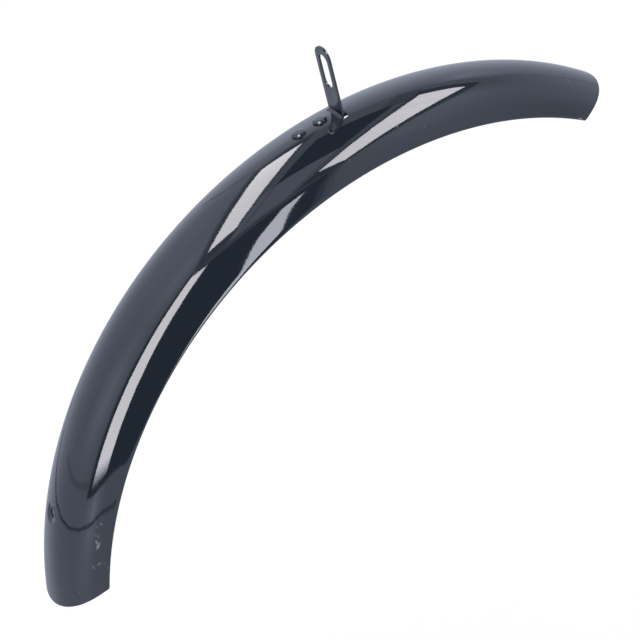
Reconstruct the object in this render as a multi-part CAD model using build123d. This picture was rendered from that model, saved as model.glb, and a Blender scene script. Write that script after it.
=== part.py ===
from build123d import *
import math
import os

# Front mudguard of a small bicycle: a rolled steel blade, a slotted fork bracket and two rivets.
# Millimetres and degrees. The origin is the middle of the bracket's slot, +X points forward along
# the fork bolt, +Y to the left and +Z up along the bracket's upright. Places along the blade are
# lengths on the outside of the crown, counted from the back face of the upright, forward positive.

# Blade
crown_radius = 265.0
section_radius = 33.4
shoulder_angle = 58.5
flank_radius = 100.0
flank_length = 7.42
sheet = 0.8
bead_radius = 0.9
rear_corner_reach = 320.8
front_corner_reach = 160.6
rear_bulge = 21.6
front_bulge = 21.2

# Dimpled hole for the stay, near the rear end
stay_hole_reach = 284.1
stay_hole_radius = 3.0
dimple_radius = 6.5
dimple_depth = 1.6

# Fork bracket
bracket_width = 14.5
bracket_thickness = 1.25
bracket_height = 39.5
bracket_tilt = 1.54
bracket_corner = 6.6
bend_radius = 2.0
slot_width = 8.4
slot_length = 20.0
slot_height = 25.0
leg_overhang = 8.4
leg_corner = 5.0

# Opening in the crown round the upright
opening_front_gap = 2.2
opening_side_gap = 1.2
opening_rear_gap = 0.1
opening_corner = 2.0

# Rivets
rivet_reach = 10.6
rivet_pitch = 14.2
rivet_count = 2
rivet_radius = 2.5
rivet_head_radius = 4.1
rivet_head_height = 1.5
rivet_rim = 0.65
rivet_tail_radius = 3.6
rivet_tail_height = 1.4

# Spare room that cutting tools reach past the metal
spare = 3.0

# Wheel axis, set so that the upright's back face meets the crown at the tilt angle
wheel_x = crown_radius * math.sin(math.radians(bracket_tilt)) - bracket_thickness / 2
wheel_z = -slot_height - crown_radius * math.cos(math.radians(bracket_tilt))
wheel_axis = Axis((wheel_x, 0, wheel_z), (0, 1, 0))
section_height = crown_radius - section_radius
inner_radius = section_radius - sheet
leg_radius = inner_radius - bracket_thickness
flank_angle = shoulder_angle + math.degrees(flank_length / flank_radius)


def arc_angle(reach):
    """Angle about the wheel axis, from straight up, of a place on the crown."""
    return math.degrees(reach / crown_radius) - bracket_tilt


def blade_point(angle, around, radius):
    """Point at an angle about the wheel axis, an angle round the section and a section radius."""
    out = section_height + radius * math.cos(math.radians(around))
    side = radius * math.sin(math.radians(around))
    turn = math.radians(angle)
    return Vector(wheel_x + out * math.sin(turn), side, wheel_z + out * math.cos(turn))


def crown_plane(reach):
    """Plane on the crown with X forward along it and Z outward from the wheel."""
    angle = arc_angle(reach)
    turn = math.radians(angle)
    forward = (math.cos(turn), 0, -math.sin(turn))
    outward = (math.sin(turn), 0, math.cos(turn))
    return Plane(blade_point(angle, 0, section_radius), x_dir=forward, z_dir=outward)


def round_place(reach):
    """Place on the crown for round features, turned so that no seam lies in the middle plane."""
    return crown_plane(reach).location * Rot(0, 0, 45)


def section_band(outer, inner, half_angle):
    """Curved strip of the cross-section between two section radii."""
    start = 90 - half_angle
    middle = (0, section_height)
    outside = CenterArc(middle, outer, start, 2 * half_angle)
    inside = CenterArc(middle, inner, start, 2 * half_angle)
    ends = [Line(outside @ end, inside @ end) for end in (0, 1)]
    return make_face([outside, inside, *ends])


def section_core(radius):
    """Filled cross-section of the crown below a section radius."""
    start = 90 - shoulder_angle
    middle = (0, section_height)
    outside = CenterArc(middle, radius, start, 2 * shoulder_angle)
    ends = [Line(middle, outside @ end) for end in (0, 1)]
    return make_face([outside, *ends])


def flank_pivot(side):
    """Middle of a flank's arc, which leaves the crown's arc without a kink at the shoulder."""
    lean = math.radians(shoulder_angle)
    offset = section_radius - flank_radius
    return Vector(side * offset * math.sin(lean), section_height + offset * math.cos(lean))


def flank_end(side, depth):
    """Place in the cross-section at a flank's lower end, a depth below the outside of the sheet."""
    lean = math.radians(flank_angle)
    return flank_pivot(side) + Vector(side * math.sin(lean), math.cos(lean)) * (flank_radius - depth)


def blade_section():
    """Cross-section of the blade: round crown, nearly straight flanks and a rolled bead on each edge."""
    flank_sweep = flank_angle - shoulder_angle
    lines = [Line(flank_end(side, 0), flank_end(side, sheet)) for side in (-1, 1)]
    for depth in (0, sheet):
        crown_start = 90 - shoulder_angle
        lines.append(CenterArc((0, section_height), section_radius - depth, crown_start, 2 * shoulder_angle))
        for side, start in ((-1, 90 + shoulder_angle), (1, 90 - flank_angle)):
            lines.append(CenterArc(flank_pivot(side), flank_radius - depth, start, flank_sweep))
    section = make_face(lines)
    for side in (-1, 1):
        section += Pos(flank_end(side, bead_radius)) * Circle(bead_radius)
    return section


def turned(section, first, last):
    """Cross-section turned about the wheel axis from one angle to another."""
    upright = Plane((wheel_x, 0, wheel_z), x_dir=(0, 1, 0), z_dir=(1, 0, 0))
    body = revolve(upright * section, wheel_axis, last - first)
    return body.rotate(wheel_axis, first)


bead_middle = flank_end(1, bead_radius) - Vector(0, section_height)
edge_angle = math.degrees(math.atan2(bead_middle.X, bead_middle.Y) + bead_radius / section_radius)
rear_corner = arc_angle(-rear_corner_reach)
front_corner = arc_angle(front_corner_reach)
rear_rise = math.degrees(rear_bulge / crown_radius)
front_rise = math.degrees(front_bulge / crown_radius)
spare_angle = math.degrees(spare / crown_radius)


def end_cutter(corner, rise, way):
    """Tool that trims one end of the blade to a convex curve, square to the sheet."""
    inside = inner_radius - 2 * bead_radius - spare
    outside = section_radius + spare
    stations = 12
    reach = edge_angle + 2 * math.degrees(bead_radius / section_radius)
    faces = []
    for station in range(stations + 1):
        around = reach * (2 * station / stations - 1)
        near = corner + way * rise * (1 - (around / edge_angle) ** 2)
        far = corner + way * (rise + 2 * spare_angle)
        corners = [
            blade_point(near, around, inside),
            blade_point(near, around, outside),
            blade_point(far, around, outside),
            blade_point(far, around, inside),
        ]
        faces.append(Face(Wire.make_polygon(corners, close=True)))
    return loft(faces)


# Bend of the bracket, tangent to the underside of the crown and to the upright
bend_x = -bracket_thickness / 2 - bend_radius
bend_reach = crown_radius - sheet + bend_radius
bend_angle = math.degrees(math.asin((bend_x - wheel_x) / bend_reach))
bend_z = wheel_z + bend_reach * math.cos(math.radians(bend_angle))
leg_half_angle = math.degrees(math.asin(bracket_width / 2 / inner_radius))
leg_end_reach = rivet_reach + (rivet_count - 1) * rivet_pitch + leg_overhang


def opening_cutter():
    """Rounded window in the crown, from just behind the bend to a gap in front of the upright."""
    rear = math.radians(bend_angle + bracket_tilt) * crown_radius - opening_rear_gap
    front = bracket_thickness + opening_front_gap
    width = bracket_width + 2 * opening_side_gap
    window = RectangleRounded(front - rear, width, opening_corner)
    tool = extrude(window, section_radius / 2, both=True)
    return crown_plane((front + rear) / 2) * tool


def rivet_reaches():
    return [-rivet_reach - index * rivet_pitch for index in range(rivet_count)]


def rivet_hole_cutters():
    return [round_place(reach) * Cylinder(rivet_radius, 4 * spare) for reach in rivet_reaches()]


def dimple_ball(wall):
    """Ball of the pressed dimple, plain for its hollow side or larger by the wall for its under side."""
    ball = (dimple_radius**2 + dimple_depth**2) / (2 * dimple_depth)
    middle = Pos(0, 0, ball - dimple_depth) * Rot(0, 90, 45)
    return round_place(-stay_hole_reach) * middle * Sphere(ball + wall)


def dimple_cup():
    """Sheet that the dimple pushes inward, reaching up into the middle of the blade's wall."""
    angle = arc_angle(-stay_hole_reach)
    room = math.degrees(2 * dimple_radius / crown_radius)
    below_skin = turned(section_core(section_radius - sheet / 2), angle - room, angle + room)
    return dimple_ball(sheet) & below_skin


def stay_hole_cutter():
    return round_place(-stay_hole_reach) * Cylinder(stay_hole_radius, 4 * spare)


def mudguard_blade():
    first = rear_corner - rear_rise - spare_angle
    last = front_corner + front_rise + spare_angle
    blade = turned(blade_section(), first, last)
    blade += dimple_cup()
    blade -= [
        dimple_ball(0),
        stay_hole_cutter(),
        opening_cutter(),
        *rivet_hole_cutters(),
        end_cutter(rear_corner, rear_rise, -1),
        end_cutter(front_corner, front_rise, 1),
    ]
    return blade.fix()


def bend_section(share):
    """Cross-section of the bend, dished like the crown at the leg and flat at the upright."""
    start = math.radians(bend_angle)
    toward_wheel = Vector(-math.sin(start), 0, -math.cos(start))
    turn = share * (90 + bend_angle)
    outward = toward_wheel.rotate(Axis.Y, -turn)
    middle = Vector(bend_x, 0, bend_z)
    lean = math.radians(leg_half_angle)
    rows = []
    for radius, distance in ((inner_radius, bend_radius), (leg_radius, bend_radius + bracket_thickness)):
        dish = (1 - share) * radius * (1 - math.cos(lean))
        side = (1 - share) * radius * math.sin(lean) + share * bracket_width / 2
        left = middle + outward * (distance + dish) + Vector(0, side, 0)
        centre = middle + outward * distance
        right = middle + outward * (distance + dish) - Vector(0, side, 0)
        rows.append((left, centre, right))
    (a, b, c), (d, e, f) = rows
    flat = share == 1
    top = Line(a, c) if flat else ThreePointArc(a, b, c)
    base = Line(f, d) if flat else ThreePointArc(f, e, d)
    return Face(Wire([top, Line(c, f), base, Line(d, a)]))


def fork_bracket():
    leg_section = section_band(inner_radius, leg_radius, leg_half_angle)
    leg = turned(leg_section, arc_angle(-leg_end_reach), bend_angle)
    corners = leg.edges().filter_by(lambda edge: abs(edge.length - bracket_thickness) < 0.01)
    leg = fillet(corners.sort_by(Axis.X)[:2], leg_corner)
    stations = 6
    bend = loft([bend_section(station / stations) for station in range(stations + 1)])
    top = bracket_height - slot_height
    plate = Pos(0, (top + bend_z) / 2) * Rectangle(bracket_width, top - bend_z)
    plate = fillet(plate.vertices().sort_by(Axis.Y)[-2:], bracket_corner)
    plate -= SlotOverall(slot_length, slot_width, rotation=90)
    upright = extrude(Plane.YZ * plate, bracket_thickness / 2, both=True)
    bracket = leg + bend + upright
    bracket -= rivet_hole_cutters()
    return bracket.fix()


def bracket_rivet(reach):
    """Domed head seated on the crown, shank through sheet and leg, flattened tail below."""
    place = round_place(reach)
    angle = arc_angle(reach)
    room = math.degrees(2 * rivet_head_radius / crown_radius)
    crown = turned(section_core(section_radius), angle - room, angle + room)
    below_leg = turned(section_core(leg_radius), angle - room, angle + room)
    dome = rivet_head_height - rivet_rim
    ball = (rivet_head_radius**2 + dome**2) / (2 * dome)
    head = Cylinder(rivet_head_radius, 2 * rivet_head_height)
    head &= Pos(0, 0, rivet_head_height - ball) * Sphere(ball)
    head = place * head - crown
    stack = sheet + bracket_thickness
    tail_length = stack + rivet_tail_height
    tail = place * Pos(0, 0, -tail_length / 2) * Cylinder(rivet_tail_radius, tail_length)
    tail &= below_leg
    shank_length = stack + (rivet_head_height + rivet_tail_height) / 2
    shank_middle = (rivet_head_height / 2 - stack - rivet_tail_height / 2) / 2
    shank = place * Pos(0, 0, shank_middle) * Cylinder(rivet_radius, shank_length)
    rivet = head + shank + tail
    return rivet.fix()


def bracket_rivets():
    return Compound([bracket_rivet(reach).solid() for reach in rivet_reaches()])


os.makedirs("parts", exist_ok=True)
export_step(mudguard_blade(), "parts/mudguard_blade.step")
export_step(fork_bracket(), "parts/fork_bracket.step")
export_step(bracket_rivets(), "parts/bracket_rivets.step")
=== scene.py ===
import math

import bmesh
import bpy
from mathutils import Matrix, Vector


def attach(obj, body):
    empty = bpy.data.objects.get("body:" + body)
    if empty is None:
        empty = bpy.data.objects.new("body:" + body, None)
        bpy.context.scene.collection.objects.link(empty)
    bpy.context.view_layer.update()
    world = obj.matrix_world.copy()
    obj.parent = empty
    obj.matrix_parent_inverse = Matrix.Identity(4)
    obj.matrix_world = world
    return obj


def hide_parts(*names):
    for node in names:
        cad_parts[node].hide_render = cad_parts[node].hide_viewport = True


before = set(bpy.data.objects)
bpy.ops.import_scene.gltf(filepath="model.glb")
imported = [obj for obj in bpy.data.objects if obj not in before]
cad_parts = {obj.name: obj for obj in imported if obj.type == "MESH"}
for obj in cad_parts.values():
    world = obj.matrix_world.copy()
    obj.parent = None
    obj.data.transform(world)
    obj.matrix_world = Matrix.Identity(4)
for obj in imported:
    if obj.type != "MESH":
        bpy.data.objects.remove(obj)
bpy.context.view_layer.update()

MM = 0.001

# Sizes of the blade
CROWN_RADIUS = 265.0 * MM
SECTION_RADIUS = 33.4 * MM
SHOULDER_ANGLE = math.radians(58.5)
FLANK_RADIUS = 100.0 * MM
FLANK_LENGTH = 7.42 * MM
SHEET = 0.8 * MM
BEAD_RADIUS = 0.9 * MM
REAR_CORNER_REACH = 320.8 * MM
FRONT_CORNER_REACH = 160.6 * MM
REAR_BULGE = 21.6 * MM
FRONT_BULGE = 21.2 * MM

# Sizes of the dimpled hole for the stay
STAY_HOLE_REACH = 284.1 * MM
STAY_HOLE_RADIUS = 3.0 * MM
DIMPLE_RADIUS = 6.5 * MM
DIMPLE_DEPTH = 1.6 * MM
DIMPLE_RIM = 0.2 * MM

# Sizes of the fork bracket
STRAP_WIDTH = 14.5 * MM
STRAP_THICKNESS = 1.25 * MM
STRAP_HEIGHT = 39.5 * MM
STRAP_TILT = math.radians(1.54)
STRAP_CORNER = 6.6 * MM
STRAP_EDGE = 0.08 * MM
BEND_RADIUS = 2.0 * MM
SLOT_WIDTH = 8.4 * MM
SLOT_LENGTH = 20.0 * MM
SLOT_HEIGHT = 25.0 * MM
LEG_OVERHANG = 8.4 * MM
LEG_CORNER = 5.0 * MM

# Sizes of the opening in the crown round the upright
OPENING_FRONT_GAP = 2.2 * MM
OPENING_SIDE_GAP = 1.2 * MM
OPENING_REAR_GAP = 0.1 * MM
OPENING_CORNER = 2.0 * MM

# Sizes of the rivets
RIVET_REACH = 10.6 * MM
RIVET_PITCH = 14.2 * MM
RIVET_COUNT = 2
RIVET_RADIUS = 2.5 * MM
RIVET_HEAD_RADIUS = 4.1 * MM
RIVET_HEAD_HEIGHT = 1.5 * MM
RIVET_DOME = 0.6 * MM
RIVET_ROUND = 0.15 * MM
RIVET_TAIL_RADIUS = 3.6 * MM
RIVET_TAIL_HEIGHT = 1.4 * MM
RIVET_TAIL_ROUND = 0.35 * MM

# Places that follow from the sizes
WHEEL_X = CROWN_RADIUS * math.sin(STRAP_TILT) - STRAP_THICKNESS / 2
WHEEL_Z = -SLOT_HEIGHT - CROWN_RADIUS * math.cos(STRAP_TILT)
FLANK_ANGLE = SHOULDER_ANGLE + FLANK_LENGTH / FLANK_RADIUS


def arc_angle(reach):
    """Angle about the wheel axis, from straight up, of a place on the crown."""
    return reach / CROWN_RADIUS - STRAP_TILT


def crown_place(angle, out):
    """Place in the middle plane at an angle about the wheel axis and a distance out from it."""
    return Vector((WHEEL_X + out * math.sin(angle), 0, WHEEL_Z + out * math.cos(angle)))


# Bend and leg of the bracket
BEND_X = -STRAP_THICKNESS / 2 - BEND_RADIUS
BEND_REACH = CROWN_RADIUS - SHEET + BEND_RADIUS
BEND_ANGLE = math.asin((BEND_X - WHEEL_X) / BEND_REACH)
BEND_Z = WHEEL_Z + BEND_REACH * math.cos(BEND_ANGLE)
LEG_END_ANGLE = arc_angle(-(RIVET_REACH + (RIVET_COUNT - 1) * RIVET_PITCH + LEG_OVERHANG))


class Number:
    """A number inside a node tree; arithmetic on it adds Math nodes."""

    def __init__(self, tree, socket):
        self.tree = tree
        self.socket = socket

    def calc(self, operation, *others, held=False):
        """One Math node; held keeps its result between 0 and 1."""
        node = self.tree.nodes.new("ShaderNodeMath")
        node.operation = operation
        node.use_clamp = held
        for place, value in enumerate((self, *others)):
            if isinstance(value, Number):
                self.tree.links.new(value.socket, node.inputs[place])
            else:
                node.inputs[place].default_value = value
        return Number(self.tree, node.outputs[0])

    def __add__(self, other):
        return self.calc("ADD", other)

    def __sub__(self, other):
        return self.calc("SUBTRACT", other)

    def __mul__(self, other):
        return self.calc("MULTIPLY", other)

    def __truediv__(self, other):
        return self.calc("DIVIDE", other)

    def sin(self):
        return self.calc("SINE")

    def cos(self):
        return self.calc("COSINE")

    def least(self, other):
        return self.calc("MINIMUM", other)

    def above(self, level):
        return self.calc("GREATER_THAN", level)

    def share(self, start, size):
        """Share from 0 to 1 of a stretch that starts at a value and has a size."""
        return ((self - start) / size).calc("ADD", 0.0, held=True)


class Tree:
    """Geometry node tree with named inputs, built from Python."""

    def __init__(self, name):
        self.tree = bpy.data.node_groups.new(name, "GeometryNodeTree")
        self.tree.interface.new_socket("Geometry", in_out="OUTPUT", socket_type="NodeSocketGeometry")
        self.values = {}
        self.entry = self.tree.nodes.new("NodeGroupInput")

    def size(self, name, value, kind="NodeSocketFloat"):
        """Named input of the tree, with the value that this object gives it."""
        socket = self.tree.interface.new_socket(name, in_out="INPUT", socket_type=kind)
        self.values[socket.identifier] = value
        return Number(self.tree, self.entry.outputs[name])

    def add(self, kind, links=None, **settings):
        """New node with its settings; each named input is linked or given a value."""
        node = self.tree.nodes.new(kind)
        for name, value in settings.items():
            setattr(node, name, value)
        for name, value in (links or {}).items():
            if isinstance(value, Number):
                value = value.socket
            if isinstance(value, bpy.types.NodeSocket):
                self.tree.links.new(value, node.inputs[name])
            else:
                node.inputs[name].default_value = value
        return node

    def vector(self, x, y, z):
        return self.add("ShaderNodeCombineXYZ", {"X": x, "Y": y, "Z": z}).outputs[0]

    def mesh(self, geometry, material, name):
        """Finish the tree, run it once and keep its result as a plain mesh."""
        realized = self.add("GeometryNodeRealizeInstances", {"Geometry": geometry})
        smooth = self.add("GeometryNodeSetShadeSmooth", {"Geometry": realized.outputs[0]})
        painted = self.add("GeometryNodeSetMaterial", {"Geometry": smooth.outputs[0], "Material": material})
        self.add("NodeGroupOutput", {"Geometry": painted.outputs[0]})
        maker = bpy.data.objects.new(name + "_maker", bpy.data.meshes.new(name + "_maker"))
        bpy.context.collection.objects.link(maker)
        modifier = maker.modifiers.new("shape", "NODES")
        modifier.node_group = self.tree
        for identifier, value in self.values.items():
            modifier[identifier] = value
        graph = bpy.context.evaluated_depsgraph_get()
        mesh = bpy.data.meshes.new_from_object(maker.evaluated_get(graph))
        maker.modifiers.clear()
        bpy.data.objects.remove(maker)
        mesh.name = name
        return mesh


def place_piece(name, mesh, node, sharp=35):
    """Put a finished mesh into the scene in place of a node."""
    mesh.set_sharp_from_angle(angle=math.radians(sharp))
    piece = bpy.data.objects.new(name, mesh)
    bpy.context.collection.objects.link(piece)
    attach(piece, "root")
    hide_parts(node)


# Shape of the blade: steps across its section, rows along it, and room for the dimple and the cuts
CROWN_FINE = 28
CROWN_WIDE = 20
FLANK_STEPS = 5
BEAD_STEPS = 11
SKIN_STEPS = CROWN_FINE + CROWN_WIDE + FLANK_STEPS
HALF_STEPS = 2 * SKIN_STEPS + BEAD_STEPS
REAR_ROWS = 24
DIMPLE_ROWS = 80
FRONT_ROWS = 262
FINE_ANGLE = math.radians(15)
DIMPLE_ROOM = 9.0 * MM
CUT_DEPTH = 24.0 * MM
HOLE_SIDES = 64
WINDOW_STEPS = 10
BLADE_WELD = 0.01 * MM
TOOL_WELD = 0.001 * MM


def blade_mesh(material):
    """Rolled sheet with beaded edges, bowed ends, a dimpled hole and a window for the bracket."""
    tree = Tree("mudguard blade")
    radius = tree.size("Crown Radius", CROWN_RADIUS)
    section = tree.size("Section Radius", SECTION_RADIUS)
    shoulder = tree.size("Shoulder Angle", SHOULDER_ANGLE)
    flank_radius = tree.size("Flank Radius", FLANK_RADIUS)
    flank_angle = tree.size("Flank Angle", FLANK_ANGLE)
    sheet = tree.size("Sheet", SHEET)
    bead = tree.size("Bead Radius", BEAD_RADIUS)
    rear_corner = tree.size("Rear Corner Angle", arc_angle(-REAR_CORNER_REACH))
    front_corner = tree.size("Front Corner Angle", arc_angle(FRONT_CORNER_REACH))
    rear_rise = tree.size("Rear Bulge Angle", REAR_BULGE / CROWN_RADIUS)
    front_rise = tree.size("Front Bulge Angle", FRONT_BULGE / CROWN_RADIUS)
    dimple_angle = tree.size("Stay Hole Angle", arc_angle(-STAY_HOLE_REACH))
    hole_radius = tree.size("Stay Hole Radius", STAY_HOLE_RADIUS)
    dimple_depth = tree.size("Dimple Depth", DIMPLE_DEPTH)
    ball = tree.size("Dimple Ball Radius", (DIMPLE_RADIUS**2 + DIMPLE_DEPTH**2) / (2 * DIMPLE_DEPTH))
    rivet_hole = tree.size("Rivet Hole Radius", RIVET_RADIUS)
    rivet_angle = tree.size("First Rivet Angle", arc_angle(-RIVET_REACH))
    rivet_step = tree.size("Rivet Pitch Angle", -RIVET_PITCH / CROWN_RADIUS)
    paint = tree.size("Paint", material, "NodeSocketMaterial")

    opening_rear = (BEND_ANGLE + STRAP_TILT) * CROWN_RADIUS - OPENING_REAR_GAP
    opening_front = STRAP_THICKNESS + OPENING_FRONT_GAP
    opening_angle = tree.size("Opening Angle", arc_angle((opening_front + opening_rear) / 2))
    opening_length = tree.size("Opening Length", opening_front - opening_rear)
    opening_width = tree.size("Opening Width", STRAP_WIDTH + 2 * OPENING_SIDE_GAP)
    opening_corner = tree.size("Opening Corner", OPENING_CORNER)

    # One more row than there are steps, and one at each end that closes the sheet
    rows = 3 + REAR_ROWS + DIMPLE_ROWS + FRONT_ROWS
    grid = tree.add(
        "GeometryNodeMeshGrid",
        {"Size X": 2.0, "Size Y": rows - 1.0, "Vertices X": 2 * HALF_STEPS + 1, "Vertices Y": rows},
    )
    place = tree.add("ShaderNodeSeparateXYZ", {"Vector": tree.add("GeometryNodeInputPosition").outputs[0]})
    across_share = Number(tree.tree, place.outputs["X"])
    row = Number(tree.tree, place.outputs["Y"]) + (rows - 1) / 2

    step = across_share.calc("ABSOLUTE") * float(HALF_STEPS)
    side = across_share.calc("SIGN") * -1.0
    inner = step.above(SKIN_STEPS + BEAD_STEPS - 0.5)

    def profile(step):
        """Across and up from the section's middle, by the count of steps from the crown's ridge."""
        inner = step.above(SKIN_STEPS + BEAD_STEPS - 0.5)
        rolled = step.above(SKIN_STEPS + 0.5) - inner
        skin_step = step.least(step * -1.0 + float(HALF_STEPS))
        lean = skin_step.share(0.0, CROWN_FINE) * FINE_ANGLE
        lean = lean + skin_step.share(CROWN_FINE, CROWN_WIDE) * (shoulder - FINE_ANGLE)
        lean = lean + skin_step.share(CROWN_FINE + CROWN_WIDE, FLANK_STEPS) * (flank_angle - shoulder)
        open_roll = ((bead - sheet) / bead).calc("ARCCOSINE")
        inner_end = flank_angle - (bead * open_roll.sin()) / flank_radius * inner
        lean = lean.least(inner_end)
        depth = inner * sheet + rolled * bead
        bent = lean.least(shoulder)
        roll = flank_angle + step.share(SKIN_STEPS, BEAD_STEPS) * (open_roll * -1.0 + 2 * math.pi)
        across = (section - flank_radius) * bent.sin() + (flank_radius - depth) * lean.sin()
        up = (section - flank_radius) * bent.cos() + (flank_radius - depth) * lean.cos()
        return across + rolled * bead * roll.sin(), up + rolled * bead * roll.cos()

    across, up = profile(step)
    far_across, far_up = profile(step * -1.0 + float(HALF_STEPS))
    closing = (row * -1.0 + 0.5).above(0.0) + row.above(rows - 1.5)
    across = across + (far_across - across) * 0.5 * closing
    up = up + (far_up - up) * 0.5 * closing

    edge_across = (section - flank_radius) * shoulder.sin() + (flank_radius - bead) * flank_angle.sin()
    edge_up = (section - flank_radius) * shoulder.cos() + (flank_radius - bead) * flank_angle.cos()
    edge_angle = edge_across.calc("ARCTAN2", edge_up) + bead / section
    around = across.calc("ARCTAN2", up) / edge_angle
    bow = around * around * -1.0 + 1.0
    rear_end = rear_corner - rear_rise * bow
    front_end = front_corner + front_rise * bow

    whole = front_corner + front_rise - rear_corner + rear_rise
    dimple_share = (dimple_angle - rear_corner + rear_rise) / whole
    dimple_room = (whole * radius).calc("POWER", -1.0) * DIMPLE_ROOM
    run = row - 1.0
    along = run.share(0.0, REAR_ROWS) * (dimple_share - dimple_room)
    along = along + run.share(REAR_ROWS, DIMPLE_ROWS) * dimple_room * 2.0
    rest = dimple_share * -1.0 - dimple_room + 1.0
    along = along + run.share(REAR_ROWS + DIMPLE_ROWS, FRONT_ROWS) * rest
    angle = rear_end + (front_end - rear_end) * along

    out = radius - section + up
    off = angle - dimple_angle
    run_off = out * off.sin()
    height = out * off.cos() - radius
    reach_square = run_off * run_off + across * across
    wall = ball + inner * sheet
    bowl = (wall * wall - reach_square).calc("MAXIMUM", 0.0).calc("SQRT")
    bowl_height = ball - dimple_depth - bowl
    sunk = height.calc("SMOOTH_MIN", bowl_height, DIMPLE_RIM) - height
    x = out * angle.sin() + sunk * dimple_angle.sin() + WHEEL_X
    z = out * angle.cos() + sunk * dimple_angle.cos() + WHEEL_Z
    shaped = tree.add(
        "GeometryNodeSetPosition",
        {"Geometry": grid.outputs["Mesh"], "Position": tree.vector(x, across * side, z)},
    )
    closed = tree.add("GeometryNodeMergeByDistance", {"Geometry": shaped.outputs[0], "Distance": BLADE_WELD})

    def at_crown(geometry, angle):
        """Move a cutting tool onto the crown, its Z outward and its X forward."""
        where = tree.vector(radius * angle.sin() + WHEEL_X, 0.0, radius * angle.cos() + WHEEL_Z)
        links = {"Geometry": geometry, "Translation": where, "Rotation": tree.vector(0.0, angle, 0.0)}
        return tree.add("GeometryNodeTransform", links).outputs[0]

    def drill(angle, radius):
        """Round cutting tool that stands on the crown."""
        links = {"Vertices": HOLE_SIDES, "Radius": radius, "Depth": CUT_DEPTH}
        return at_crown(tree.add("GeometryNodeMeshCylinder", links).outputs["Mesh"], angle)

    window = tree.add(
        "GeometryNodeCurvePrimitiveQuadrilateral", {"Width": opening_length, "Height": opening_width}
    )
    rounded = tree.add(
        "GeometryNodeFilletCurve",
        {"Curve": window.outputs[0], "Radius": opening_corner, "Count": WINDOW_STEPS},
        mode="POLY",
    )
    pane = tree.add("GeometryNodeFillCurve", {"Curve": rounded.outputs[0]}, mode="NGONS")
    lowered = tree.add(
        "GeometryNodeTransform", {"Geometry": pane.outputs[0], "Translation": (0.0, 0.0, -CUT_DEPTH / 2)}
    )
    block = tree.add(
        "GeometryNodeExtrudeMesh",
        {
            "Mesh": lowered.outputs[0],
            "Offset": (0.0, 0.0, 1.0),
            "Offset Scale": CUT_DEPTH,
            "Individual": False,
        },
    )
    base = tree.add("GeometryNodeFlipFaces", {"Mesh": lowered.outputs[0]})
    tool = tree.add("GeometryNodeJoinGeometry")
    for part in (base.outputs[0], block.outputs["Mesh"]):
        tree.tree.links.new(part, tool.inputs[0])
    prism = tree.add("GeometryNodeMergeByDistance", {"Geometry": tool.outputs[0], "Distance": TOOL_WELD})

    cut = tree.add(
        "GeometryNodeMeshBoolean",
        {"Mesh 1": closed.outputs[0]},
        operation="DIFFERENCE",
        solver="EXACT",
    )
    tools = [drill(dimple_angle, hole_radius), at_crown(prism.outputs[0], opening_angle)]
    tools += [drill(rivet_angle + rivet_step * float(count), rivet_hole) for count in range(RIVET_COUNT)]
    for part in tools:
        tree.tree.links.new(part, cut.inputs["Mesh 2"])
    return tree.mesh(cut.outputs["Mesh"], paint, "mudguard_blade_painted")


# Shape of the rivets
DOME_STEPS = 18
SHOULDER_STEPS = 5
TAIL_STEPS = 4
RIVET_SIDES = 56
RIVET_WELD = 0.005 * MM


def rivet_profile():
    """Half outline of a rivet from the top of its dome to the bottom of its tail, as reach and height."""
    points = []
    inner = RIVET_HEAD_RADIUS - RIVET_ROUND
    for step in range(DOME_STEPS + 1):
        share = step / DOME_STEPS
        points.append((inner * share, RIVET_HEAD_HEIGHT - RIVET_DOME * share**4))
    shoulder = RIVET_HEAD_HEIGHT - RIVET_DOME - RIVET_ROUND
    for step in range(1, SHOULDER_STEPS + 1):
        turn = math.radians(30 + 60 * step / SHOULDER_STEPS)
        points.append((inner + RIVET_ROUND * math.sin(turn), shoulder + RIVET_ROUND * math.cos(turn)))
    sag = RIVET_HEAD_RADIUS**2 / (2 * SECTION_RADIUS)
    points.append((RIVET_HEAD_RADIUS, -sag))
    points.append((RIVET_RADIUS, -sag))
    leg_under = -SHEET - STRAP_THICKNESS
    tail_sag = RIVET_TAIL_RADIUS**2 / (2 * SECTION_RADIUS)
    points.append((RIVET_RADIUS, leg_under - tail_sag / 2))
    points.append((RIVET_TAIL_RADIUS, leg_under - tail_sag / 2))
    bottom = leg_under - RIVET_TAIL_HEIGHT
    for step in range(TAIL_STEPS + 1):
        turn = math.radians(90 * step / TAIL_STEPS)
        reach = RIVET_TAIL_RADIUS - RIVET_TAIL_ROUND * (1 - math.cos(turn))
        points.append((reach, bottom + RIVET_TAIL_ROUND * (1 - math.sin(turn))))
    points.append((0.0, bottom))
    return points


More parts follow.
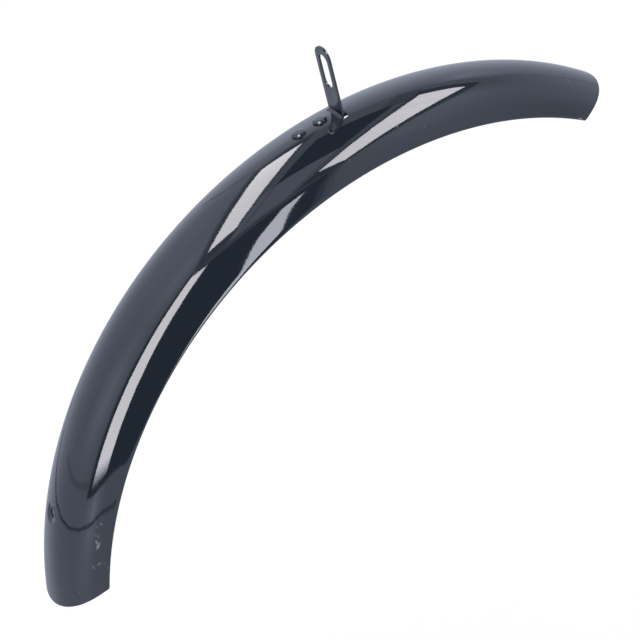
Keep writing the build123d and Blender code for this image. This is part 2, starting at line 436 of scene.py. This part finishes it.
def rivet_mesh(material):
    """Both rivets: one turned form, set out along the crown."""
    form = bmesh.new()
    line = [form.verts.new((reach, 0, height)) for reach, height in rivet_profile()]
    for first, second in zip(line, line[1:]):
        form.edges.new((first, second))
    turns = {"cent": (0, 0, 0), "axis": (0, 0, 1), "angle": 2 * math.pi, "steps": RIVET_SIDES}
    bmesh.ops.spin(form, geom=form.verts[:] + form.edges[:], use_merge=True, **turns)
    bmesh.ops.remove_doubles(form, verts=form.verts[:], dist=RIVET_WELD)
    bmesh.ops.recalc_face_normals(form, faces=form.faces[:])
    one = bpy.data.meshes.new("rivet_form")
    form.to_mesh(one)
    form.free()
    model = bpy.data.objects.new("rivet_form", one)
    bpy.context.collection.objects.link(model)

    tree = Tree("rivets along the crown")
    count = tree.size("Count", RIVET_COUNT, "NodeSocketInt")
    first = tree.size("First Angle", arc_angle(-RIVET_REACH))
    pitch = tree.size("Pitch Angle", -RIVET_PITCH / CROWN_RADIUS)
    radius = tree.size("Crown Radius", CROWN_RADIUS)
    shape = tree.size("Rivet", model, "NodeSocketObject")
    paint = tree.size("Paint", material, "NodeSocketMaterial")
    row = tree.add("GeometryNodeMeshLine", {"Count": count})
    index = Number(tree.tree, tree.add("GeometryNodeInputIndex").outputs[0])
    angle = first + index * pitch
    where = tree.vector(radius * angle.sin() + WHEEL_X, 0.0, radius * angle.cos() + WHEEL_Z)
    seats = tree.add("GeometryNodeSetPosition", {"Geometry": row.outputs[0], "Position": where})
    form = tree.add("GeometryNodeObjectInfo", {"Object": shape})
    turn = tree.add("FunctionNodeEulerToRotation", {"Euler": tree.vector(0.0, angle, 0.0)})
    links = {"Points": seats.outputs[0], "Instance": form.outputs["Geometry"], "Rotation": turn.outputs[0]}
    rivets = tree.add("GeometryNodeInstanceOnPoints", links)
    mesh = tree.mesh(rivets.outputs[0], paint, "bracket_rivets_painted")
    bpy.data.objects.remove(model)
    bpy.data.meshes.remove(one)
    return mesh


# Shape of the fork bracket: lengths along its flat blank, and the cuts that let it bend
STRAP_MIDDLE = CROWN_RADIUS - SHEET - STRAP_THICKNESS / 2
LEG_LENGTH = (BEND_ANGLE - LEG_END_ANGLE) * STRAP_MIDDLE
BEND_SWEEP = math.pi / 2 + BEND_ANGLE
BEND_LENGTH = BEND_SWEEP * (BEND_RADIUS + STRAP_THICKNESS / 2)
UPRIGHT_TOP = STRAP_HEIGHT - SLOT_HEIGHT
STRAP_LENGTH = LEG_LENGTH + BEND_LENGTH + UPRIGHT_TOP - BEND_Z
LEG_CUTS = 22
BEND_CUTS = 20
STRAP_STRIPS = 12
STRAP_WELD = 0.004 * MM
CUT_WELD = 0.002 * MM
# Share of a half circle, just under one, so that the straight between two corners keeps a length
NEARLY_HALF = 0.9999


def round_outline(left, right, low, high, left_corner, right_corner=None, steps=12):
    """Points round a rectangle with round corners, which may differ at its two ends."""
    points = []
    right_corner = right_corner or left_corner
    corners = (
        (right, high, 0, right_corner),
        (left, high, 90, left_corner),
        (left, low, 180, left_corner),
        (right, low, 270, right_corner),
    )
    for along, across, start, corner in corners:
        middle_along = along - math.copysign(corner, along - (left + right) / 2)
        middle_across = across - math.copysign(corner, across - (low + high) / 2)
        for step in range(steps + 1):
            turn = math.radians(start + 90 * step / steps)
            points.append((middle_along + corner * math.cos(turn), middle_across + corner * math.sin(turn)))
    return points


def strap_blank():
    """Flat blank of the bracket with its slot, rivet holes and softened edges."""
    half = STRAP_WIDTH / 2
    outlines = [round_outline(0, STRAP_LENGTH, -half, half, LEG_CORNER, STRAP_CORNER)]
    slot_middle = STRAP_LENGTH - UPRIGHT_TOP
    slot_corner = SLOT_WIDTH / 2 * NEARLY_HALF
    reach = SLOT_LENGTH / 2
    slot_ends = (slot_middle - reach, slot_middle + reach)
    outlines.append(round_outline(*slot_ends, -SLOT_WIDTH / 2, SLOT_WIDTH / 2, slot_corner, steps=20))
    for count in range(RIVET_COUNT):
        angle = arc_angle(-RIVET_REACH - count * RIVET_PITCH)
        middle = (angle - LEG_END_ANGLE) * STRAP_MIDDLE
        radius = RIVET_RADIUS
        ends = (middle - radius, middle + radius)
        outlines.append(round_outline(*ends, -radius, radius, radius * NEARLY_HALF))
    curve = bpy.data.curves.new("strap_blank", "CURVE")
    curve.dimensions = "2D"
    curve.fill_mode = "BOTH"
    curve.extrude = STRAP_THICKNESS / 2 - STRAP_EDGE
    curve.bevel_depth = STRAP_EDGE
    curve.bevel_resolution = 3
    curve.offset = -STRAP_EDGE
    for points in outlines:
        spline = curve.splines.new("POLY")
        spline.points.add(len(points) - 1)
        for point, (along, across) in zip(spline.points, points):
            point.co = (along, across, 0, 1)
        spline.use_cyclic_u = True
    blank = bpy.data.objects.new("strap_blank", curve)
    bpy.context.collection.objects.link(blank)
    graph = bpy.context.evaluated_depsgraph_get()
    mesh = bpy.data.meshes.new_from_object(blank.evaluated_get(graph))
    bpy.data.objects.remove(blank)
    bpy.data.curves.remove(curve)
    return mesh


def strap_place(along, across, off):
    """Where a point of the flat blank goes once the strap is dished, bent and stood up."""
    dish = SECTION_RADIUS - SHEET - math.sqrt((SECTION_RADIUS - SHEET) ** 2 - across**2)
    if along < LEG_LENGTH:
        place = crown_place(LEG_END_ANGLE + along / STRAP_MIDDLE, STRAP_MIDDLE + off - dish)
    elif along < LEG_LENGTH + BEND_LENGTH:
        share = (along - LEG_LENGTH) / BEND_LENGTH
        turn = BEND_ANGLE - share * BEND_SWEEP
        reach = BEND_RADIUS + STRAP_THICKNESS / 2 - off + dish * (1 - share)
        place = Vector((BEND_X - reach * math.sin(turn), 0, BEND_Z - reach * math.cos(turn)))
    else:
        place = Vector((-off, 0, BEND_Z + along - LEG_LENGTH - BEND_LENGTH))
    place.y = across
    return place


def bracket_mesh(material):
    """Bracket: its blank, cut into short strips and bent into place."""
    mesh = strap_blank()
    form = bmesh.new()
    form.from_mesh(mesh)
    bmesh.ops.remove_doubles(form, verts=form.verts[:], dist=STRAP_WELD)
    cuts = []
    for step in range(1, LEG_CUTS + 1):
        cuts.append((Vector((LEG_LENGTH * step / LEG_CUTS, 0, 0)), Vector((1, 0, 0))))
    for step in range(1, BEND_CUTS + 1):
        cuts.append((Vector((LEG_LENGTH + BEND_LENGTH * step / BEND_CUTS, 0, 0)), Vector((1, 0, 0))))
    for step in range(1 - STRAP_STRIPS // 2, STRAP_STRIPS // 2):
        cuts.append((Vector((0, STRAP_WIDTH * step / STRAP_STRIPS, 0)), Vector((0, 1, 0))))
    for middle, way in cuts:
        geometry = form.verts[:] + form.edges[:] + form.faces[:]
        bmesh.ops.bisect_plane(form, geom=geometry, plane_co=middle, plane_no=way, dist=CUT_WELD)
    for vert in form.verts:
        vert.co = strap_place(*vert.co)
    bmesh.ops.recalc_face_normals(form, faces=form.faces[:])
    for face in form.faces:
        face.smooth = True
    form.to_mesh(mesh)
    form.free()
    mesh.name = "fork_bracket_painted"
    mesh.materials.clear()
    mesh.materials.append(material)
    return mesh


# Paint: its colour, the sizes of its skin, and the spread of each as a scale of noise
PAINT_BLACK = (0.0150, 0.0212, 0.0307, 1)
PAINT_IOR = 1.5
SKIN_SIZES = ("Peel", "Wave", "Polish", "Smear")
SKIN_HEIGHT = 0.001 * MM
PEEL_SCALE = 550.0
WAVE_SCALE = 60.0
SMEAR_SCALE = 45.0


def paint_group():
    """Skin of a stoved gloss paint: faint orange peel, slow waves of the sheet and hand smears."""
    group = bpy.data.node_groups.new("gloss paint skin", "ShaderNodeTree")
    for name in SKIN_SIZES:
        group.interface.new_socket(name, in_out="INPUT", socket_type="NodeSocketFloat")
    group.interface.new_socket("Roughness", in_out="OUTPUT", socket_type="NodeSocketFloat")
    group.interface.new_socket("Height", in_out="OUTPUT", socket_type="NodeSocketFloat")
    entry = group.nodes.new("NodeGroupInput")
    leave = group.nodes.new("NodeGroupOutput")
    place = group.nodes.new("ShaderNodeTexCoord").outputs["Object"]

    def noise(scale, detail):
        """Noise on the object's own coordinates."""
        node = group.nodes.new("ShaderNodeTexNoise")
        node.inputs["Scale"].default_value = scale
        node.inputs["Detail"].default_value = detail
        group.links.new(place, node.inputs["Vector"])
        return Number(group, node.outputs["Fac"])

    sizes = {name: Number(group, entry.outputs[name]) for name in SKIN_SIZES}
    peel = noise(PEEL_SCALE, 1.0) * sizes["Peel"]
    wave = noise(WAVE_SCALE, 0.0) * sizes["Wave"]
    smear = noise(SMEAR_SCALE, 3.0).share(0.45, 0.3) * sizes["Smear"]
    group.links.new((peel + wave).socket, leave.inputs["Height"])
    group.links.new((smear + sizes["Polish"]).socket, leave.inputs["Roughness"])
    return group


# Scuffs and scratches of the blade, and one painted highlight on the front bead edge, in millimetres and
# degrees:
# reach along the crown, place across, half length, half width, slant, strength
SCUFFS_AND_GLINT = (
    (-276.0, -28.8, 0.8, 0.3, 15, 0.7),
    (-278.5, -27.8, 0.5, 0.3, 30, 0.5),
    (-284.0, -27.8, 1.0, 0.25, 10, 0.3),
    (-284.5, -28.6, 1.3, 0.25, 0, 0.45),
    (-291.0, -28.9, 2.6, 0.4, -6, 1.0),
    (-288.7, -28.3, 1.4, 0.35, 14, 0.9),
    (-306.0, -28.0, 1.2, 0.3, 12, 0.6),
    (-303.5, -29.6, 1.3, 0.3, -16, 0.65),
    (-303.0, -31.0, 0.7, 0.25, 0, 0.3),
    (-305.5, -31.9, 1.6, 0.15, 0, 0.35),
    (-325.5, -23.0, 0.4, 0.35, 0, 0.5),
    (152.0, -16.6, 2.3, 0.2, 105, 0.9),
    (153.3, -20.2, 0.6, 0.4, 0, 0.4),
    # Painted highlight: this thin pale line on the front bead edge stands in for a glint of light, not for
    # wear
    (156.0, -32.2, 1.8, 0.14, 0, 1.0),
    (-13.0, -26.9, 0.8, 0.3, 60, 0.25),
    (22.5, -24.4, 0.8, 0.3, 30, 0.25),
    (22.3, -27.0, 0.7, 0.3, 0, 0.2),
    (38.3, -28.3, 0.8, 0.3, 10, 0.25),
)
# Grey of the rubbed paint, also used for the painted highlight on the front bead edge
SCUFF_AND_GLINT_GREY = (0.15, 0.165, 0.19, 1)
SCUFF_AND_GLINT_ROUGHNESS = 0.4
GRIT_SCALE = 1200.0
GRIT_SHARE = 0.6


def scuffs_and_glint(material):
    """Pale scuffs where the paint is rubbed, and a painted highlight on the front bead edge, on the outside
    of the near flank.
    """
    tree = material.node_tree
    place = tree.nodes.new("ShaderNodeTexCoord").outputs["Object"]
    parts = tree.nodes.new("ShaderNodeSeparateXYZ")
    tree.links.new(place, parts.inputs[0])
    forward, side, rise = (Number(tree, parts.outputs[name]) for name in "XYZ")
    angle = (forward - WHEEL_X).calc("ARCTAN2", rise - WHEEL_Z)
    reach = (angle + STRAP_TILT) * (CROWN_RADIUS / MM)
    side = side / MM
    worn_and_glint = None
    for middle, across, length, width, slant, strength in SCUFFS_AND_GLINT:
        turn = math.radians(slant)
        ahead = reach - middle
        aside = side - across
        long = (ahead * math.cos(turn) + aside * math.sin(turn)) / length
        wide = (aside * math.cos(turn) - ahead * math.sin(turn)) / width
        # Full in the middle, half at its edge and gone a third beyond
        near = (long * long + wide * wide).calc("SQRT") * -1.5 + 2.0
        mark = near.calc("ADD", 0.0, held=True) * strength
        worn_and_glint = worn_and_glint.calc("MAXIMUM", mark) if worn_and_glint else mark
    grit = tree.nodes.new("ShaderNodeTexNoise")
    grit.inputs["Scale"].default_value = GRIT_SCALE
    tree.links.new(place, grit.inputs["Vector"])
    broken = Number(tree, grit.outputs["Fac"]).share(0.3, 0.25)
    worn_and_glint = worn_and_glint * (broken * GRIT_SHARE + (1 - GRIT_SHARE))
    facing = tree.nodes.new("ShaderNodeSeparateXYZ")
    tree.links.new(tree.nodes.new("ShaderNodeTexCoord").outputs["Normal"], facing.inputs[0])
    outside = Number(tree, facing.outputs["Y"]).calc("LESS_THAN", 0.0)
    worn_and_glint = worn_and_glint * outside
    # Pale grey mixed into the paint's colour: rubbed wear, and on the front bead edge a painted highlight
    mix = tree.nodes.new("ShaderNodeMix")
    mix.data_type = "RGBA"
    shader = tree.nodes["Principled BSDF"]
    mix.inputs["A"].default_value = shader.inputs["Base Color"].default_value
    mix.inputs["B"].default_value = SCUFF_AND_GLINT_GREY
    tree.links.new(worn_and_glint.socket, mix.inputs["Factor"])
    tree.links.new(mix.outputs["Result"], shader.inputs["Base Color"])
    polish = shader.inputs["Roughness"].links[0].from_socket
    tree.links.new((Number(tree, polish) + worn_and_glint * SCUFF_AND_GLINT_ROUGHNESS).socket, shader.inputs["Roughness"])


def gloss_black(name, group, peel, wave, polish, smear):
    """Black gloss paint with its own sizes of skin."""
    material = bpy.data.materials.new(name)
    material.use_nodes = True
    nodes = material.node_tree.nodes
    links = material.node_tree.links
    shader = nodes["Principled BSDF"]
    shader.inputs["Base Color"].default_value = PAINT_BLACK
    shader.inputs["IOR"].default_value = PAINT_IOR
    skin = nodes.new("ShaderNodeGroup")
    skin.node_tree = group
    for size, value in zip(SKIN_SIZES, (peel, wave, polish, smear)):
        skin.inputs[size].default_value = value
    bump = nodes.new("ShaderNodeBump")
    bump.inputs["Strength"].default_value = 1.0
    bump.inputs["Distance"].default_value = SKIN_HEIGHT
    links.new(skin.outputs["Height"], bump.inputs["Height"])
    links.new(bump.outputs["Normal"], shader.inputs["Normal"])
    links.new(skin.outputs["Roughness"], shader.inputs["Roughness"])
    return material


paint_skin = paint_group()
blade_paint = gloss_black("blade_gloss_black", paint_skin, 5.0, 50.0, 0.045, 0.02)
scuffs_and_glint(blade_paint)
bracket_paint = gloss_black("bracket_gloss_black", paint_skin, 0.6, 1.0, 0.09, 0.03)
rivet_paint = gloss_black("rivet_gloss_black", paint_skin, 0.6, 1.0, 0.06, 0.02)

place_piece("mudguard_blade_painted", blade_mesh(blade_paint), "mudguard_blade")
place_piece("bracket_rivets_painted", rivet_mesh(rivet_paint), "bracket_rivets")
place_piece("fork_bracket_painted", bracket_mesh(bracket_paint), "fork_bracket", 25)


# Studio: cards round the part that only its gloss sees, all set out from one stand
STAND_TURN = math.radians(15.06)
BOX_TURN = math.radians(-27.33)
LAMP_WHITE = (1.0, 0.97, 1.03)
STRIP_PALE = (0.95, 0.96, 1.09)
WALL_BLUE = (0.89, 0.95, 1.16)
LAMP_HEIGHT = 40.0
WALL_DISTANCE = 60.0
ROOM_RADIUS = 200.0
FACET = 20.0
FLOOR_REACH = 9.0
FLOOR_HEIGHT = -0.6
FLOOR_GLOW = 0.22
CAMERA_PLACE = (-0.46622, -0.63427, 0.53671)
CAMERA_TURN = math.radians(-30.967)
CAMERA_DIP = math.radians(28.957)
CAMERA_LENS = 81.5625

stand = Matrix.Translation((WHEEL_X, 0, WHEEL_Z)) @ Matrix.Rotation(STAND_TURN, 4, "Y")


def glow(name, color, level):
    """Plain glowing or black card colour."""
    material = bpy.data.materials.new(name)
    material.use_nodes = True
    nodes = material.node_tree.nodes
    nodes.clear()
    light = nodes.new("ShaderNodeEmission")
    light.inputs["Color"].default_value = (*color, 1)
    light.inputs["Strength"].default_value = level
    out = nodes.new("ShaderNodeOutputMaterial")
    material.node_tree.links.new(light.outputs[0], out.inputs["Surface"])
    return material


def gloss_only(name, mesh, material):
    """Part of the studio that shows only in the gloss of the paint."""
    mesh.materials.append(material)
    panel = bpy.data.objects.new(name, mesh)
    panel.matrix_world = stand
    bpy.context.collection.objects.link(panel)
    panel.visible_camera = False
    panel.visible_diffuse = False
    panel.visible_shadow = False


def toward(azimuth, elevation, distance=1.0):
    """Place seen from the wheel axis in a direction; azimuth 0 is the near side, positive forward."""
    turn = math.radians(azimuth)
    rise = math.radians(elevation)
    flat = distance * math.cos(rise)
    return Vector((flat * math.sin(turn), -flat * math.cos(turn), distance * math.sin(rise)))


def overhead(name, across, along, level, color=WALL_BLUE, lift=0.0, skew=(0.0, 0.0)):
    """Level card over the part; its reaches are shares of its height, across and along the soft boxes."""
    height = LAMP_HEIGHT + lift
    turn = Matrix.Rotation(BOX_TURN, 3, "Z")
    left, right = across
    near, far = along
    places = ((left, near), (right, near + skew[0]), (right, far + skew[1]), (left, far))
    corners = [turn @ Vector((*place, 1)) * height for place in places]
    mesh = bpy.data.meshes.new(name)
    mesh.from_pydata(corners, [], [range(4)])
    gloss_only(name, mesh, glow(name, color, level))


def upright(name, low, high, level, color=WALL_BLUE, back=0.0):
    """Standing card from its lower and upper edges, each an elevation and two azimuths."""
    count = math.ceil(abs(low[2] - low[1]) / FACET)
    corners = []
    for rise, left, right in (low, high):
        for step in range(count + 1):
            corners.append(toward(left + (right - left) * step / count, rise, WALL_DISTANCE + back))
    faces = [(step, step + 1, count + step + 2, count + step + 1) for step in range(count)]
    mesh = bpy.data.meshes.new(name)
    mesh.from_pydata(corners, [], faces)
    gloss_only(name, mesh, glow(name, color, level))


def seam(name, places, width, level, back=0.0):
    """Narrow dark ribbon through directions in the room, as where two walls meet."""
    line = []
    for first, second in zip(places, places[1:]):
        count = math.ceil(abs(second[0] - first[0]) / FACET) or 1
        for step in range(count):
            share = step / count
            line.append(toward(*(start + (end - start) * share for start, end in zip(first, second))))
    line.append(toward(*places[-1]))
    corners = []
    for index, middle in enumerate(line):
        way = line[min(index + 1, len(line) - 1)] - line[max(index - 1, 0)]
        aside = way.cross(middle).normalized() * math.tan(math.radians(width / 2))
        for edge in (middle - aside, middle + aside):
            corners.append(edge * (WALL_DISTANCE + back))
    faces = [(2 * index, 2 * index + 1, 2 * index + 3, 2 * index + 2) for index in range(len(line) - 1)]
    mesh = bpy.data.meshes.new(name)
    mesh.from_pydata(corners, [], faces)
    gloss_only(name, mesh, glow(name, WALL_BLUE, level))


def room(level, patches):
    """Round pale room with soft patches of more or less light."""
    material = glow("room_walls", WALL_BLUE, level)
    tree = material.node_tree
    place = tree.nodes.new("ShaderNodeTexCoord").outputs["Object"]
    brightness = None
    for azimuth, elevation, strength, focus in patches:
        facing = tree.nodes.new("ShaderNodeVectorMath")
        facing.operation = "DOT_PRODUCT"
        facing.inputs[1].default_value = toward(azimuth, elevation, 1 / ROOM_RADIUS)
        tree.links.new(place, facing.inputs[0])
        lobe = Number(tree, facing.outputs["Value"]).calc("MAXIMUM", 0.0).calc("POWER", focus) * strength
        brightness = brightness + lobe if brightness else lobe + level
    tree.links.new(brightness.socket, tree.nodes["Emission"].inputs["Strength"])
    form = bmesh.new()
    bmesh.ops.create_icosphere(form, subdivisions=4, radius=ROOM_RADIUS)
    mesh = bpy.data.meshes.new("room_walls")
    form.to_mesh(mesh)
    form.free()
    gloss_only("room_walls", mesh, material)


# Soft boxes, their dark edges, and the ceiling between them
overhead("soft_box_rear", (-0.551, -0.297), (-0.67, 0.515), 12.8, LAMP_WHITE, skew=(0.0, -0.085))
for along, level, slant in (((-0.70, 0.0), 12.6, -0.10), ((0.0, 0.22), 11.6, 0.0), ((0.22, 0.35), 10.6, 0.0)):
    overhead("soft_box_front", (0.300, 0.567), along, level, LAMP_WHITE, skew=(slant, 0.0))
overhead("box_edge_rear", (-0.615, -0.265), (-0.90, 0.60), 0.3, lift=1.0)
overhead("box_edge_front", (0.265, 0.635), (-0.93, 0.50), 0.15, lift=1.0)
overhead("box_shade_rear", (-0.655, -0.265), (-0.92, 0.70), 0.8, lift=2.0)
overhead("box_shade_front", (0.265, 0.668), (-0.95, 0.58), 0.8, lift=2.0)
overhead("ceiling_hatch", (-0.175, 0.205), (-0.335, 0.25), 0.0, lift=3.0)
overhead("ceiling_seam", (-0.180, -0.150), (-0.90, -0.335), 0.8, lift=3.0)
overhead("ceiling_near", (-0.265, 0.19), (-0.92, -0.335), 1.25, lift=4.0)
overhead("ceiling_far", (0.13, 0.265), (0.25, 0.60), 0.45, lift=4.0)
overhead("ceiling", (-0.265, 0.265), (-0.96, 0.60), 0.8, lift=5.0)

# Light strips, the fading foot of the rear one, and the black panel between them
upright("strip_rear", (-6.5, -63.6, -46.1), (41.0, -60.8, -48.6), 12.8, LAMP_WHITE)
for low, high, level in ((-7.8, -6.5, 10.5), (-9.0, -7.8, 8.0), (-10.0, -9.0, 5.0), (-10.8, -10.0, 2.5)):
    upright("strip_foot", (low, -63.8, -46.0), (high, -63.7, -46.0), level, STRIP_PALE)
upright("strip_near", (-10.0, -11.2, -2.9), (37.3, -10.0, -3.1), 9.6, STRIP_PALE)
upright("black_panel", (-13.0, -68.5, 2.5), (42.0, -63.7, 3.7), 0.0, back=15.0)
upright("panel_fade", (-13.0, -69.5, 4.5), (42.0, -64.7, 5.8), 0.35, back=20.0)
upright("panel_head", (42.0, -63.7, 5.0), (46.5, -63.3, 5.3), 0.45, back=15.0)
upright("panel_shade", (-13.0, -71.5, 6.5), (44.4, -66.5, 8.0), 0.75, back=25.0)

# Corners and seams of the room, which the gloss shows as thin dark lines
seam("skirting", ((-180, -19.8), (-30, -19.8)), 0.9, 0.1)
seam("wall_ledge", ((-128, -9.5), (-66, -9.5)), 1.5, 0.7, back=30.0)
seam("floor_seam", ((-180, -32), (-130, -22)), 1.0, 0.6)
seam("rear_corner", ((-176, 13.5), (-169, 28), (-167, 37), (-166, 45)), 0.8, 0.55)
seam("front_corner", ((109, 12), (107.6, 31), (107.4, 36), (110, 46)), 1.1, 0.5)

# Soft patches on the room's walls: azimuth, elevation, strength and focus
room(
    1.0,
    (
        (-88, 12, 0.9, 28),
        (-125, 45, 0.5, 11),
        (-85, 45, 0.8, 40),
        (-60, -25, 0.45, 35),
        (-54, -17, 1.2, 120),
        (-30, 60, -0.55, 17),
        (30, 45, 0.5, 40),
        (60, 60, 0.8, 36),
        (110, 58, -0.6, 24),
        (125, 45, 1.0, 150),
        (160, 30, 0.55, 7),
        (140, -5, -0.35, 4),
        (170, -35, -0.25, 8),
        (-170, -50, -0.3, 30),
        (-120, -30, -0.15, 15),
        (0, -90, -0.9, 6),
        (-25, -55, 1.0, 40),
        (171, 28, 0.35, 90),
        (55, 15, -0.35, 40),
    ),
)

# White surroundings and a plain pale floor
world = bpy.data.worlds.new("studio")
bpy.context.scene.world = world
world.use_nodes = True
world.node_tree.nodes["Background"].inputs["Color"].default_value = (1, 1, 1, 1)
world.node_tree.nodes["Background"].inputs["Strength"].default_value = 1.0

floor_mesh = bpy.data.meshes.new("floor")
floor_corners = [
    (FLOOR_REACH * forward, FLOOR_REACH * aside, FLOOR_HEIGHT)
    for forward, aside in ((-1, -1), (1, -1), (1, 1), (-1, 1))
]
floor_mesh.from_pydata(floor_corners, [], [range(4)])
floor = bpy.data.objects.new("floor", floor_mesh)
bpy.context.collection.objects.link(floor)
floor_paint = bpy.data.materials.new("floor_white")
floor_paint.use_nodes = True
floor_shader = floor_paint.node_tree.nodes["Principled BSDF"]
floor_shader.inputs["Base Color"].default_value = (0.8, 0.8, 0.8, 1)
floor_shader.inputs["Roughness"].default_value = 1.0
floor_shader.inputs["Specular IOR Level"].default_value = 0.0
floor_shader.inputs["Emission Color"].default_value = (1, 1, 1, 1)
floor_shader.inputs["Emission Strength"].default_value = FLOOR_GLOW
floor_mesh.materials.append(floor_paint)
floor.visible_glossy = False

# Camera
camera_data = bpy.data.cameras.new("camera")
camera_data.lens = CAMERA_LENS
camera_data.sensor_width = 36
camera_data.clip_end = 100
camera = bpy.data.objects.new("camera", camera_data)
bpy.context.collection.objects.link(camera)
camera.matrix_world = (
    stand
    @ Matrix.Translation(CAMERA_PLACE)
    @ Matrix.Rotation(CAMERA_TURN, 4, "Z")
    @ Matrix.Rotation(math.pi / 2 - CAMERA_DIP, 4, "X")
)
bpy.context.scene.camera = camera
bpy.context.scene.view_settings.view_transform = "Standard"
